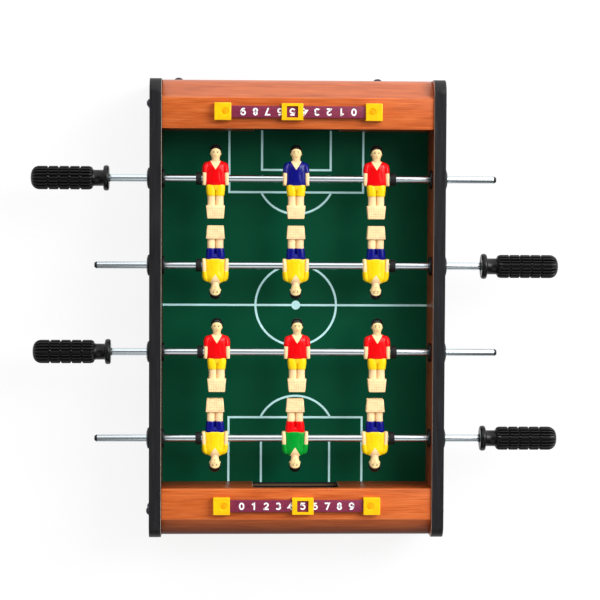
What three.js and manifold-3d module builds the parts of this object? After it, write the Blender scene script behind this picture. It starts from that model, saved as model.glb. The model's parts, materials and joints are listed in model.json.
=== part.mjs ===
// Small tabletop foosball game: four spinning, sliding rods with three men each.
// Millimetres, +Z up. The origin is the middle of the rest plane. Y runs goal to goal, X along the rods.
import * as THREE from "three";
import { mergeVertices } from "three/addons/utils/BufferGeometryUtils.js";
import Module from "manifold-3d";

const wasm = await Module();
wasm.setup();

// ---------------------------------------------------------------- driving dimensions
const BODY_LENGTH = 342.6;
const BODY_WIDTH = 220;
const PANEL_HEIGHT = 70;
const PANEL_THICKNESS = 9;
const PANEL_CORNER = 11;
const FIT_GAP = 0.15;

const FIELD_TOP = 24;
const FIELD_THICKNESS = 5;
const GOAL_WALL_Y = 133.9;
const GOAL_WALL_THICKNESS = 6;
const GOAL_WIDTH = 64.5;
const GOAL_HEIGHT = 36;
const GOAL_CORNER = 7;

const PLATE_TOP = 68.2;
const BOARD_THICKNESS = 6;
const PLATE_OUTER_Y = 156.8;
const SLOPE_FOOT_Z = 50;

const ROD_PITCH = 64.8;
const ROD_Z = 55.5;
const ROD_RADIUS = 2.8;
const ROD_WALL = 0.6;
const ROD_FREE_END = 148.2;
const HANDLE_FACE = 139.3;
const HANDLE_LENGTH = 58.1;
const HANDLE_BORE_DEPTH = 48;
const STOP_RING_X = 72.6;
const STOP_RING_WIDTH = 4.2;
const STOP_RING_RADIUS = 4.8;
const MAN_PITCH = 60.1;
const PLUG_STEM = 8;
const PLUG_HEAD = 2;
const PLUG_SEAT_GAP = 0.05;
const PLUG_TAPER = 0.6;

const BUSHING_SLEEVE = 5;
const BUSHING_FLANGE = 7.85;
const BUSHING_INNER_FLANGE = 7;
const BUSHING_OUT = 2.2;
const BUSHING_IN = 2;
const BUSHING_CLEARANCE = 0.3;

const COUNTER_Y = 146.3;
const BAR_LENGTH = 99.4;
const BAR_WIDTH = 8.8;
const BAR_HEIGHT = 4;
const BLOCK_LENGTH = 12.5;
const BLOCK_WIDTH = 13;
const BLOCK_HEIGHT = 6;
const DIGIT_PITCH = 9.1;
const DIGIT_SHOWN = 5;
const SLIDER_LENGTH = 16;
const SLIDER_WIDTH = 12.5;
const SLIDER_HEIGHT = 5.6;
const SLIDER_WINDOW = 8.4;

const DIMPLE_RADIUS = 2.4;
const DIMPLE_DEPTH = 1;
const DIMPLE_OFFSET = 1.5;

const SCREW_HEAD = 2.9;
const SCREW_PROUD = 3.1;
const SCREW_SHANK = 1.2;
const SCREW_LENGTH = 13;
const SCREW_POINT = 1;
const SCREW_LEFT_X = -89.4;
const SCREW_RIGHT_X = 62.2;

const GRIP_RADIUS = 8.75;
const GRIP_LENGTH = 46;
const GRIP_DOME = 5.6;
const GRIP_SHOULDER = 2.5;
const GROOVE_COUNT = 4;
const GROOVE_PITCH = 7.9;
const GROOVE_FIRST = 13;
const GROOVE_DEPTH = 1.3;
const NECK_RADIUS = 6;
const DISC_RADIUS = 9.5;
const DISC_WIDTH = 4.1;
const DISC_BEVEL = 1;

// A man is measured from the rod's axis, up towards the head.
const HEAD_TOP = 25.4;
const HEAD_HALF_WIDTH = 4.55;
const HEAD_HALF_DEPTH = 5;
const CHIN = 13.9;
const NECK_HALF_WIDTH = 2.6;
const NECK_LENGTH = 5;
const SHOULDER = 12.9;
const SHOULDER_DROP = 2.5;
const SHOULDER_HALF_WIDTH = 4;
const CHEST_HALF_DEPTH = 4.6;
const CHEST_BEVEL = 1.2;
const WAIST_HALF_WIDTH = 6.4;
const HIP_HALF_WIDTH = 6.95;
const SHORTS_END = -12.4;
const LEG_HALF_WIDTH = 5.75;
const LEG_HALF_DEPTH = 3.4;
const LEGS_END = -19.8;
const FOOT_END = -29.9;
const FOOT_HALF_DEPTH = 4.6;
const FOOT_TOP_HALF = 7.35;
const FOOT_END_HALF = 6.5;
const ARM_SPAN = 19.9;
const ARM_TOP = 10.9;
const ARM_END = -5;
const ARM_HALF_WIDTH = 1.6;
const ARM_HALF_DEPTH = 3.9;

const INNER_X = BODY_WIDTH / 2 - PANEL_THICKNESS;
const END_Y = BODY_LENGTH / 2;
const BORE_RADIUS = ROD_RADIUS + FIT_GAP;
const BUSHING_BORE = ROD_RADIUS + BUSHING_CLEARANCE;
const ROUND_SIDES = 16;
const SMALL_ROUND_SIDES = 12;
// A cutting tool is this many times as long as what it cuts through.
const THROUGH = 3;

// ---------------------------------------------------------------- materials
function material(color, roughness, metalness = 0) {
  return new THREE.MeshStandardMaterial({ color, roughness, metalness });
}
const blackLaminate = material(0x1c1a1e, 0.45);
const woodLaminate = material(0xb8622f, 0.35);
const greenField = material(0x03573c, 0.4);
const steelTube = material(0xc4d5dc, 0.2, 1);
const blackGrip = material(0x171717, 0.35);
const blackNylon = material(0x141414, 0.5);
const yellowPlastic = material(0xffc60a, 0.35);
const purplePlastic = material(0x8a3457, 0.4);
const redJersey = material(0xfc000b, 0.35);
const yellowJersey = material(0xffd53c, 0.35);
const navyJersey = material(0x000c76, 0.35);
const greenJersey = material(0x08a049, 0.35);
const screwSteel = material(0x26262a, 0.35, 0.8);

// ---------------------------------------------------------------- helpers
// A three.js geometry as a manifold-3d solid, with its shared vertices merged.
function solid(geometry) {
  const bare = geometry.clone();
  bare.deleteAttribute("normal");
  bare.deleteAttribute("uv");
  const merged = mergeVertices(bare, 1e-4);
  return new wasm.Manifold(new wasm.Mesh({
    numProp: 3,
    vertProperties: new Float32Array(merged.attributes.position.array),
    triVerts: new Uint32Array(merged.index.array),
  }));
}

function geometryOf(manifold) {
  const mesh = manifold.getMesh();
  const geometry = new THREE.BufferGeometry();
  geometry.setAttribute("position", new THREE.BufferAttribute(new Float32Array(mesh.vertProperties), 3));
  geometry.setIndex(new THREE.BufferAttribute(new Uint32Array(mesh.triVerts), 1));
  geometry.computeVertexNormals();
  return geometry;
}

function join(...geometries) {
  return geometryOf(geometries.map(solid).reduce((whole, next) => whole.add(next)));
}

function cut(geometry, ...tools) {
  return geometryOf(tools.map(solid).reduce((whole, tool) => whole.subtract(tool), solid(geometry)));
}

function named(name, geometry, surface) {
  const mesh = new THREE.Mesh(geometry, surface);
  mesh.name = name;
  return mesh;
}

function box(sizeX, sizeY, sizeZ, x = 0, y = 0, z = 0) {
  return new THREE.BoxGeometry(sizeX, sizeY, sizeZ).translate(x, y, z);
}

// A round bar along X, centred on the origin.
function barAlongX(radius, length, sides = ROUND_SIDES) {
  return new THREE.CylinderGeometry(radius, radius, length, sides).rotateZ(Math.PI / 2);
}

// A turned solid about the X axis. The profile is a list of [distance along X, radius] points.
function turned(profile, sides = ROUND_SIDES) {
  const points = profile.map(([along, radius]) => new THREE.Vector2(radius, along));
  return new THREE.LatheGeometry(points, sides).rotateZ(-Math.PI / 2);
}

// A board whose outline is drawn in the YZ plane, extruded along X from x0 to x1.
function boardAlongX(outline, x0, x1) {
  return new THREE.ExtrudeGeometry(outline, { depth: x1 - x0, bevelEnabled: false, curveSegments: 6 })
    .rotateX(Math.PI / 2)
    .rotateZ(Math.PI / 2)
    .translate(x0, 0, 0);
}

// A closed outline through straight corners.
function polygon(points) {
  return new THREE.Shape(points.map(([u, v]) => new THREE.Vector2(u, v)));
}

// ---------------------------------------------------------------- side panels
function panelOutline() {
  const outline = new THREE.Shape();
  outline.moveTo(-END_Y, 0);
  outline.lineTo(END_Y, 0);
  outline.lineTo(END_Y, PANEL_HEIGHT - PANEL_CORNER);
  outline.absarc(END_Y - PANEL_CORNER, PANEL_HEIGHT - PANEL_CORNER, PANEL_CORNER, 0, Math.PI / 2);
  outline.absarc(PANEL_CORNER - END_Y, PANEL_HEIGHT - PANEL_CORNER, PANEL_CORNER, Math.PI / 2, Math.PI);
  outline.closePath();
  return outline;
}

function sidePanel(side) {
  const outer = side * BODY_WIDTH / 2;
  const inner = side * INNER_X;
  const board = boardAlongX(panelOutline(), Math.min(outer, inner), Math.max(outer, inner));
  const holes = rodRows.map(({ y }) =>
    barAlongX(BUSHING_SLEEVE + FIT_GAP, THROUGH * PANEL_THICKNESS).translate((outer + inner) / 2, y, ROD_Z));
  return cut(board, ...holes);
}

// ---------------------------------------------------------------- playfield and goal ends
const screwPlaces = [1, -1].flatMap((end) =>
  [SCREW_LEFT_X, SCREW_RIGHT_X].map((x, index) => ({
    end,
    x: end * x,
    y: end * END_Y,
    z: FIELD_TOP - FIELD_THICKNESS / 2,
    name: `end_screw_${end > 0 ? "far" : "near"}_${index + 1}`,
  })));

function playfield() {
  const length = 2 * (END_Y - BOARD_THICKNESS);
  const board = box(2 * INNER_X, length, FIELD_THICKNESS, 0, 0, FIELD_TOP - FIELD_THICKNESS / 2);
  return cut(board, ...screwPlaces.map(screwHole));
}

function screwHole(place) {
  const radius = SCREW_SHANK + FIT_GAP;
  const depth = 2 * (SCREW_LENGTH + FIT_GAP);
  return new THREE.CylinderGeometry(radius, radius, depth, SMALL_ROUND_SIDES)
    .translate(place.x, place.y, place.z);
}

// The inner wall at one goal, with its mouth open down to the playfield.
function goalWall(end) {
  const height = PLATE_TOP - BOARD_THICKNESS - FIELD_TOP;
  const middleY = end * (GOAL_WALL_Y + GOAL_WALL_THICKNESS / 2);
  const wall = box(2 * INNER_X, GOAL_WALL_THICKNESS, height, 0, middleY, FIELD_TOP + height / 2);
  const half = GOAL_WIDTH / 2;
  const mouth = new THREE.Shape();
  mouth.moveTo(-half, -GOAL_CORNER);
  mouth.lineTo(half, -GOAL_CORNER);
  mouth.lineTo(half, GOAL_HEIGHT - GOAL_CORNER);
  mouth.absarc(half - GOAL_CORNER, GOAL_HEIGHT - GOAL_CORNER, GOAL_CORNER, 0, Math.PI / 2);
  mouth.absarc(GOAL_CORNER - half, GOAL_HEIGHT - GOAL_CORNER, GOAL_CORNER, Math.PI / 2, Math.PI);
  mouth.closePath();
  const depth = THROUGH * GOAL_WALL_THICKNESS;
  const tool = new THREE.ExtrudeGeometry(mouth, { depth, bevelEnabled: false, curveSegments: 5 })
    .rotateX(Math.PI / 2)
    .translate(0, middleY + depth / 2, FIELD_TOP);
  return cut(wall, tool);
}

// One board folded twice: the flat score plate, the sloping face and the upright foot.
function endBoard(end) {
  const footInner = END_Y - BOARD_THICKNESS;
  const slope = Math.atan2(END_Y - PLATE_OUTER_Y, PLATE_TOP - SLOPE_FOOT_Z);
  const lowerFold = SLOPE_FOOT_Z - BOARD_THICKNESS * Math.tan(slope / 2);
  const upperFold = PLATE_OUTER_Y - BOARD_THICKNESS * Math.tan((Math.PI / 2 - slope) / 2);
  const section = polygon([
    [GOAL_WALL_Y, PLATE_TOP],
    [GOAL_WALL_Y, PLATE_TOP - BOARD_THICKNESS],
    [upperFold, PLATE_TOP - BOARD_THICKNESS],
    [footInner, lowerFold],
    [footInner, 0],
    [END_Y, 0],
    [END_Y, SLOPE_FOOT_Z],
    [PLATE_OUTER_Y, PLATE_TOP],
  ]);
  const board = boardAlongX(section, -INNER_X, INNER_X);
  if (end < 0) {
    board.rotateZ(Math.PI);
  }
  return cut(board, ...screwPlaces.filter((place) => place.end === end).map(screwHole));
}

// A round-headed screw. Its head stands proud of the end board and its shank lies in the playfield's edge.
function endScrew() {
  const dome = [];
  const steps = 4;
  for (let step = 0; step <= steps; step += 1) {
    const angle = step / steps * Math.PI / 2;
    dome.push([SCREW_PROUD * Math.cos(angle), SCREW_HEAD * Math.sin(angle)]);
  }
  const shank = [[-SCREW_LENGTH, 0], [SCREW_POINT - SCREW_LENGTH, SCREW_SHANK], [0, SCREW_SHANK]];
  return turned([...shank, ...dome.reverse()], SMALL_ROUND_SIDES).rotateZ(Math.PI / 2);
}

// ---------------------------------------------------------------- score counters
function counterBar() {
  const length = BAR_LENGTH + BLOCK_LENGTH;
  return box(length, BAR_WIDTH, BAR_HEIGHT, 0, 0, BAR_HEIGHT / 2);
}

function counterBlock() {
  const block = box(BLOCK_LENGTH, BLOCK_WIDTH, BLOCK_HEIGHT, 0, 0, BLOCK_HEIGHT / 2);
  const socketHeight = BAR_HEIGHT + FIT_GAP;
  const socketWidth = BAR_WIDTH + 2 * FIT_GAP;
  const socket = box(BLOCK_LENGTH, socketWidth, 2 * socketHeight, BLOCK_LENGTH / 2 - FIT_GAP, 0, 0);
  const dimple = new THREE.CylinderGeometry(DIMPLE_RADIUS, DIMPLE_RADIUS, 2 * DIMPLE_DEPTH, ROUND_SIDES)
    .rotateX(Math.PI / 2)
    .translate(DIMPLE_OFFSET, 0, BLOCK_HEIGHT);
  return cut(block, socket, dimple);
}

function counterSlider() {
  const body = box(SLIDER_LENGTH, SLIDER_WIDTH, SLIDER_HEIGHT, 0, 0, SLIDER_HEIGHT / 2);
  const channel = box(2 * SLIDER_LENGTH, BAR_WIDTH + 4 * FIT_GAP, 2 * (BAR_HEIGHT + 2 * FIT_GAP));
  const window = box(SLIDER_WINDOW, SLIDER_WINDOW, THROUGH * SLIDER_HEIGHT);
  return cut(body, channel, window);
}

function scoreCounter(end) {
  const side = end > 0 ? "far" : "near";
  const counter = new THREE.Group();
  counter.add(named(`counter_bar_${side}`, counterBar(), purplePlastic));
  for (const [hand, direction] of [["zero", -1], ["nine", 1]]) {
    const block = named(`counter_block_${side}_${hand}`, counterBlock(), yellowPlastic);
    block.position.x = direction * (BAR_LENGTH + BLOCK_LENGTH) / 2;
    block.rotation.z = direction > 0 ? Math.PI : 0;
    counter.add(block);
  }
  const slider = named(`counter_slider_${side}`, counterSlider(), yellowPlastic);
  slider.position.set((DIGIT_SHOWN - 4.5) * DIGIT_PITCH, 0, FIT_GAP);
  counter.add(slider);
  counter.position.set(0, end * COUNTER_Y, PLATE_TOP);
  counter.rotation.z = end > 0 ? Math.PI : 0;
  return counter;
}

// ---------------------------------------------------------------- rods and their fittings
// slide is how far a rod stands pushed along X at rest.
const rodRows = [
  { name: "rod1", row: 1.5, slide: -1, handleSide: -1, headsTo: 1, team: redJersey, keeper: navyJersey },
  { name: "rod2", row: 0.5, slide: -1, handleSide: 1, headsTo: -1, team: yellowJersey, keeper: yellowJersey },
  { name: "rod3", row: -0.5, slide: 0.3, handleSide: -1, headsTo: 1, team: redJersey, keeper: redJersey },
  {
    name: "rod4", row: -1.5, slide: -0.9, handleSide: 1, headsTo: -1,
    team: yellowJersey, keeper: greenJersey,
  },
].map((rod) => ({ ...rod, y: rod.row * ROD_PITCH }));

// A nylon bushing, turned about X with its outer flange towards +X and the panel's outer face at x = 0.
function bushing() {
  const innerFace = -PANEL_THICKNESS;
  return turned([
    [BUSHING_OUT, BUSHING_BORE],
    [BUSHING_OUT, BUSHING_FLANGE],
    [FIT_GAP, BUSHING_FLANGE],
    [FIT_GAP, BUSHING_SLEEVE],
    [innerFace - FIT_GAP, BUSHING_SLEEVE],
    [innerFace - FIT_GAP, BUSHING_INNER_FLANGE],
    [innerFace - BUSHING_IN, BUSHING_INNER_FLANGE],
    [innerFace - BUSHING_IN, BUSHING_BORE],
    [BUSHING_OUT, BUSHING_BORE],
  ].reverse());
}

// The tube, from inside the handle at -X to its free end at +X.
function rodTube() {
  const start = -(HANDLE_FACE + HANDLE_BORE_DEPTH - FIT_GAP);
  const inner = ROD_RADIUS - ROD_WALL;
  return turned([
    [start, inner],
    [start, ROD_RADIUS],
    [ROD_FREE_END, ROD_RADIUS],
    [ROD_FREE_END, inner],
    [start, inner],
  ]);
}

// The plug in the tube's free end, with a conical head.
function endPlug() {
  const stem = ROD_RADIUS - ROD_WALL - FIT_GAP;
  const seat = ROD_FREE_END + PLUG_SEAT_GAP;
  const tip = ROD_FREE_END + PLUG_HEAD;
  return turned([
    [ROD_FREE_END - PLUG_STEM, 0],
    [ROD_FREE_END - PLUG_STEM, stem],
    [seat, stem],
    [seat, ROD_RADIUS],
    [tip, ROD_RADIUS * PLUG_TAPER],
    [tip, 0],
  ], SMALL_ROUND_SIDES);
}

// The grip, turned about X with its disc face at x = -HANDLE_FACE and its domed end at -X.
function handle() {
  const end = -HANDLE_LENGTH;
  const profile = [];
  const steps = 3;
  for (let step = 0; step <= steps; step += 1) {
    const angle = step / steps * Math.PI / 2;
    profile.push([end + GRIP_DOME * (1 - Math.cos(angle)), GRIP_RADIUS * Math.sin(angle)]);
  }
  for (let groove = 0; groove < GROOVE_COUNT; groove += 1) {
    const middle = end + GROOVE_FIRST + groove * GROOVE_PITCH;
    profile.push(
      [middle - GROOVE_DEPTH, GRIP_RADIUS],
      [middle, GRIP_RADIUS - GROOVE_DEPTH],
      [middle + GROOVE_DEPTH, GRIP_RADIUS],
    );
  }
  profile.push(
    [end + GRIP_LENGTH - GRIP_SHOULDER, GRIP_RADIUS],
    [end + GRIP_LENGTH, NECK_RADIUS],
    [-DISC_WIDTH, NECK_RADIUS],
    [-DISC_WIDTH, DISC_RADIUS - DISC_BEVEL],
    [DISC_BEVEL - DISC_WIDTH, DISC_RADIUS],
    [-DISC_BEVEL, DISC_RADIUS],
    [0, DISC_RADIUS - DISC_BEVEL],
    [0, BORE_RADIUS],
    [-HANDLE_BORE_DEPTH, BORE_RADIUS],
    [-HANDLE_BORE_DEPTH, 0],
  );
  return turned(profile).translate(-HANDLE_FACE, 0, 0);
}

function stopRing() {
  const half = STOP_RING_WIDTH / 2;
  return turned([
    [-half, BORE_RADIUS],
    [-half, STOP_RING_RADIUS],
    [half, STOP_RING_RADIUS],
    [half, BORE_RADIUS],
    [-half, BORE_RADIUS],
  ]);
}

// ---------------------------------------------------------------- the toy men
// A man lies face up along +Y with the rod's axis on the X axis through the chest.
function slab(outline, halfDepth, bevel) {
  const depth = 2 * (halfDepth - bevel);
  return new THREE.ExtrudeGeometry(outline, {
    depth,
    bevelSize: bevel,
    bevelOffset: -bevel,
    bevelThickness: bevel,
    bevelSegments: 1,
    bevelEnabled: bevel > 0,
  }).translate(0, 0, -depth / 2);
}

function manGeometry() {
  const head = new THREE.SphereGeometry(1, 10, 7)
    .scale(HEAD_HALF_WIDTH, (HEAD_TOP - CHIN) / 2, HEAD_HALF_DEPTH)
    .translate(0, (HEAD_TOP + CHIN) / 2, 0);
  const neck = new THREE.CylinderGeometry(NECK_HALF_WIDTH, NECK_HALF_WIDTH, NECK_LENGTH, 8)
    .translate(0, CHIN, 0);
  const armMiddle = ARM_SPAN / 2 - ARM_HALF_WIDTH;
  const chest = slab(polygon([
    [-HIP_HALF_WIDTH, SHORTS_END],
    [HIP_HALF_WIDTH, SHORTS_END],
    [WAIST_HALF_WIDTH, 0],
    [armMiddle, SHOULDER - SHOULDER_DROP],
    [SHOULDER_HALF_WIDTH, SHOULDER],
    [-SHOULDER_HALF_WIDTH, SHOULDER],
    [-armMiddle, SHOULDER - SHOULDER_DROP],
    [-WAIST_HALF_WIDTH, 0],
  ]), CHEST_HALF_DEPTH, CHEST_BEVEL);
  const legLength = SHORTS_END - LEGS_END;
  const legs = box(2 * LEG_HALF_WIDTH, 2 * legLength, 2 * LEG_HALF_DEPTH, 0, LEGS_END, 0);
  const foot = slab(polygon([
    [-FOOT_TOP_HALF, LEGS_END],
    [-FOOT_END_HALF, FOOT_END],
    [FOOT_END_HALF, FOOT_END],
    [FOOT_TOP_HALF, LEGS_END],
  ]), FOOT_HALF_DEPTH, 0);
  const armLength = ARM_TOP - ARM_END - 2 * ARM_HALF_WIDTH;
  const arms = [-1, 1].map((side) =>
    new THREE.CapsuleGeometry(ARM_HALF_WIDTH, armLength, 2, 6)
      .scale(1, 1, ARM_HALF_DEPTH / ARM_HALF_WIDTH)
      .translate(side * armMiddle, (ARM_TOP + ARM_END) / 2, 0));
  return cut(join(chest, neck, head, legs, foot, ...arms), barAlongX(BORE_RADIUS, THROUGH * ARM_SPAN));
}

// ---------------------------------------------------------------- assembly
const table = new THREE.Group();
table.add(named("side_panel_left", sidePanel(-1), blackLaminate));
table.add(named("side_panel_right", sidePanel(1), blackLaminate));
table.add(named("playfield", playfield(), greenField));

for (const end of [1, -1]) {
  const side = end > 0 ? "far" : "near";
  table.add(named(`goal_wall_${side}`, goalWall(end), woodLaminate));
  table.add(named(`end_board_${side}`, endBoard(end), woodLaminate));
  table.add(scoreCounter(end));
}

for (const place of screwPlaces) {
  const screw = named(place.name, endScrew(), screwSteel);
  screw.position.set(place.x, place.y, place.z);
  screw.rotation.z = place.end > 0 ? 0 : Math.PI;
  table.add(screw);
}

const man = manGeometry();
for (const row of rodRows) {
  for (const [side, label] of [[-1, "left"], [1, "right"]]) {
    const bush = named(`bushing_${row.name}_${label}`, bushing(), blackNylon);
    bush.position.set(side * BODY_WIDTH / 2, row.y, ROD_Z);
    bush.rotation.z = side > 0 ? 0 : Math.PI;
    table.add(bush);
  }
  const rod = new THREE.Group();
  rod.position.set(row.slide, row.y, ROD_Z);
  const fittings = new THREE.Group();
  fittings.rotation.z = row.handleSide < 0 ? 0 : Math.PI;
  fittings.add(named(`${row.name}_tube`, rodTube(), steelTube));
  fittings.add(named(`${row.name}_handle`, handle(), blackGrip));
  fittings.add(named(`${row.name}_end_plug`, endPlug(), blackNylon));
  rod.add(fittings);
  for (const [side, label] of [[-1, "left"], [1, "right"]]) {
    const ring = named(`${row.name}_stop_${label}`, stopRing(), blackNylon);
    ring.position.x = side * STOP_RING_X;
    rod.add(ring);
  }
  for (const [place, label] of [[-1, "left"], [0, "middle"], [1, "right"]]) {
    const figure = named(`${row.name}_man_${label}`, man, place === 0 ? row.keeper : row.team);
    figure.position.x = place * MAN_PITCH;
    figure.rotation.z = row.headsTo > 0 ? 0 : Math.PI;
    rod.add(figure);
  }
  table.add(rod);
}

export default table;
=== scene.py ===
"""Small tabletop foosball game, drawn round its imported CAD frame.

Metres, +Z up, Y from goal to goal, X along the rods. Every place comes from the frame's own boxes.
"""
import json
import math

import bmesh
import bpy
from mathutils import Matrix, Vector


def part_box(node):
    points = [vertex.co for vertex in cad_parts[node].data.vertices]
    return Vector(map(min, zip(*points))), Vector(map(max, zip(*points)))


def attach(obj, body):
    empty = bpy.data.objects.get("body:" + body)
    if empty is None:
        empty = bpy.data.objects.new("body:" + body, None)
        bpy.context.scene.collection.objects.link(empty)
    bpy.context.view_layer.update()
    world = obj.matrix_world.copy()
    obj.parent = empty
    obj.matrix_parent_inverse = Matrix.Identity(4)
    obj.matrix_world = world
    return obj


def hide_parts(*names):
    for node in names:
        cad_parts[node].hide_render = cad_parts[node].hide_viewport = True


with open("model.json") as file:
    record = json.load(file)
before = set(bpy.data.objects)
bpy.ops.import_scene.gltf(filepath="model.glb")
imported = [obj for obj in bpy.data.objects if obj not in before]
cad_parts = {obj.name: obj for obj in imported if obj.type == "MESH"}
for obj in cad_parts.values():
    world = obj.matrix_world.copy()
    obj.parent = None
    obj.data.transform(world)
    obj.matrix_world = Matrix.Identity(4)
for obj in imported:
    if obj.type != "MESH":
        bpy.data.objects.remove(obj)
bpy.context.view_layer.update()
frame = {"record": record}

MM = 0.001
RODS = ("rod1", "rod2", "rod3", "rod4")
SIDES = ("left", "right")
ENDS = ("far", "near")
WAY = {"left": -1, "right": 1, "near": -1, "far": 1}


# ---------------------------------------------------------------- node and object helpers
def feed(socket, value):
    """Links an output to a socket, or sets the socket's own constant."""
    if hasattr(value, "is_output"):
        socket.id_data.links.new(value, socket)
    else:
        socket.default_value = value


def new_node(tree, kind, inputs, **settings):
    """A node with settings, and with outputs or constants fed to its inputs by name or number."""
    node = tree.nodes.new(kind)
    for key, value in settings.items():
        setattr(node, key, value)
    for name, value in inputs.items():
        feed(node.inputs[name], value)
    return node


def smooth_step(tree, value, start, end, low, high):
    inputs = {"Value": value, "From Min": start, "From Max": end, "To Min": low, "To Max": high}
    return new_node(tree, "ShaderNodeMapRange", inputs, interpolation_type="SMOOTHSTEP").outputs["Result"]


def combine(tree, operation, first, *others):
    """One math operation over two or more outputs or numbers, in turn."""
    for other in others:
        first = new_node(tree, "ShaderNodeMath", {0: first, 1: other}, operation=operation).outputs["Value"]
    return first


def link_object(name, data):
    piece = bpy.data.objects.new(name, data)
    bpy.context.scene.collection.objects.link(piece)
    return piece


def rectangle(left, bottom, right, top):
    return [(left, bottom), (right, bottom), (right, top), (left, top)]


# ---------------------------------------------------------------- camera, light and floor
CAMERA_PLACE = Vector((-58.2, 69.4, 1558.1)) * MM
CAMERA_TURN = (-0.0419, -0.0401, 0.0049)
CAMERA_LENS = 120.5
KEY_PLACE = Vector((1.85, 0.95, 2.05))
KEY_SIZE = (1.1, 1.9)
KEY_POWER = 66
SKY_NEAR, SKY_FAR = 0.1, 1.8
SKY_LEFT, SKY_RIGHT = 0.75, 1.1
SKY_OPENING = 0.12
OPENING_SIDE, OPENING_NEAR, OPENING_FAR = (0.7, 1.0), (-0.24, -0.12), (0.40, 0.55)
PANEL_SIDE, PANEL_TOP, PANEL_FOOT = (0.22, 0.34), (-0.42, -0.32), (-0.92, -0.82)
FLOOR_HALF = 3.0
FLOOR_DROP = 0.2 * MM
FLOOR_GLOW = 0.85


def make_camera():
    data = bpy.data.cameras.new("camera")
    data.lens = CAMERA_LENS
    camera = link_object("camera", data)
    camera.location = CAMERA_PLACE
    camera.rotation_euler = CAMERA_TURN
    bpy.context.scene.camera = camera


def make_sky():
    """A soft white tent, brightest to +Y and +X, open and darker overhead, with a bright panel towards -Y."""
    world = bpy.data.worlds.new("studio")
    world.use_nodes = True
    tree = world.node_tree
    place = tree.nodes.new("ShaderNodeTexCoord").outputs["Generated"]
    x, y, z = new_node(tree, "ShaderNodeSeparateXYZ", {"Vector": place}).outputs
    aside = combine(tree, "ABSOLUTE", x, 0)
    height = combine(tree, "MAXIMUM", z, 0.02)
    across = combine(tree, "DIVIDE", aside, height)
    along = combine(tree, "DIVIDE", y, height)
    tent = combine(tree, "MULTIPLY", smooth_step(tree, y, -0.6, 0.4, SKY_NEAR, SKY_FAR),
                   smooth_step(tree, x, -0.7, 0.5, SKY_LEFT, SKY_RIGHT))
    opening = combine(tree, "MULTIPLY", smooth_step(tree, across, *OPENING_SIDE, 1, 0),
                      smooth_step(tree, along, *OPENING_NEAR, 0, 1),
                      smooth_step(tree, along, *OPENING_FAR, 1, 0))
    open_tent = combine(tree, "SUBTRACT", 1, combine(tree, "MULTIPLY", opening, 1 - SKY_OPENING))
    panel = combine(tree, "MULTIPLY", smooth_step(tree, aside, *PANEL_SIDE, 1, 0),
                    smooth_step(tree, y, *PANEL_TOP, 1, 0), smooth_step(tree, y, *PANEL_FOOT, 0, 1))
    background = tree.nodes["Background"].inputs
    feed(background["Color"], (1, 1, 1, 1))
    feed(background["Strength"], combine(tree, "ADD", combine(tree, "MULTIPLY", tent, open_tent), panel))
    bpy.context.scene.world = world


def make_studio():
    make_sky()
    bpy.context.scene.view_settings.view_transform = "Standard"
    key = bpy.data.lights.new("key", "AREA")
    key.shape = "RECTANGLE"
    key.size, key.size_y = KEY_SIZE
    key.energy = KEY_POWER
    lamp = link_object("key", key)
    lamp.location = KEY_PLACE
    lamp.rotation_euler = (-KEY_PLACE).to_track_quat("-Z", "Y").to_euler()
    corners = [(x, y, 0) for x, y in rectangle(-FLOOR_HALF, -FLOOR_HALF, FLOOR_HALF, FLOOR_HALF)]
    floor = link_object("floor", mesh_from("floor", corners, [(0, 1, 2, 3)], [FLOOR]))
    floor.location.z = -FLOOR_DROP
    shader = FLOOR.node_tree.nodes["Principled BSDF"].inputs
    shader["Emission Color"].default_value = (1, 1, 1, 1)
    shader["Emission Strength"].default_value = FLOOR_GLOW


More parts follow.
